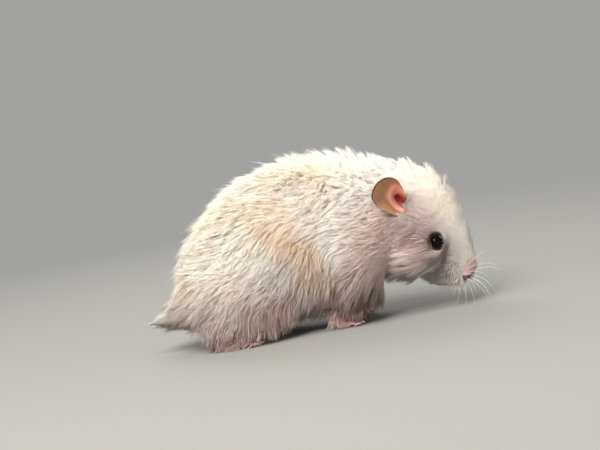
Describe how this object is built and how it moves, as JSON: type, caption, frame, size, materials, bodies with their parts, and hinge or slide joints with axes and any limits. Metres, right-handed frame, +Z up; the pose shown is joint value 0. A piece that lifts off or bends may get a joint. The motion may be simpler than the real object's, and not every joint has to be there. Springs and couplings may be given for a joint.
{
  "type": "syrian hamster",
  "caption": "Long-haired cream and white Syrian hamster standing on all fours with its head lowered, a still life-size model.",
  "frame": {"origin": "middle of the bounding box in X and Y, at the level of the soles", "axes": "+X runs from tail to nose, +Y to the animal's left, +Z up"},
  "size_m": [0.1376, 0.0634, 0.0735],
  "materials": {
    "coat": "long soft fur, cream and white with tan patches",
    "ear_skin": "thin bare skin, tan-brown with a dark rim and a pink inner fold",
    "paw_skin": "bare pink skin with small claws",
    "nose_skin": "moist pink skin",
    "eye": "black, wet gloss"
  },
  "bodies": {
    "root": {"ear_left": "ear_skin", "ear_right": "ear_skin", "eye_left": "eye", "eye_right": "eye", "foreleg_left": "coat", "foreleg_right": "coat", "forepaw_left": "paw_skin", "forepaw_right": "paw_skin", "head": "coat", "hind_leg_left": "coat", "hind_leg_right": "coat", "hindfoot_left": "paw_skin", "hindfoot_right": "paw_skin", "lower_jaw": "coat", "neck": "coat", "nose": "nose_skin", "tail": "coat", "trunk": "coat"}
  },
  "joints": []
}
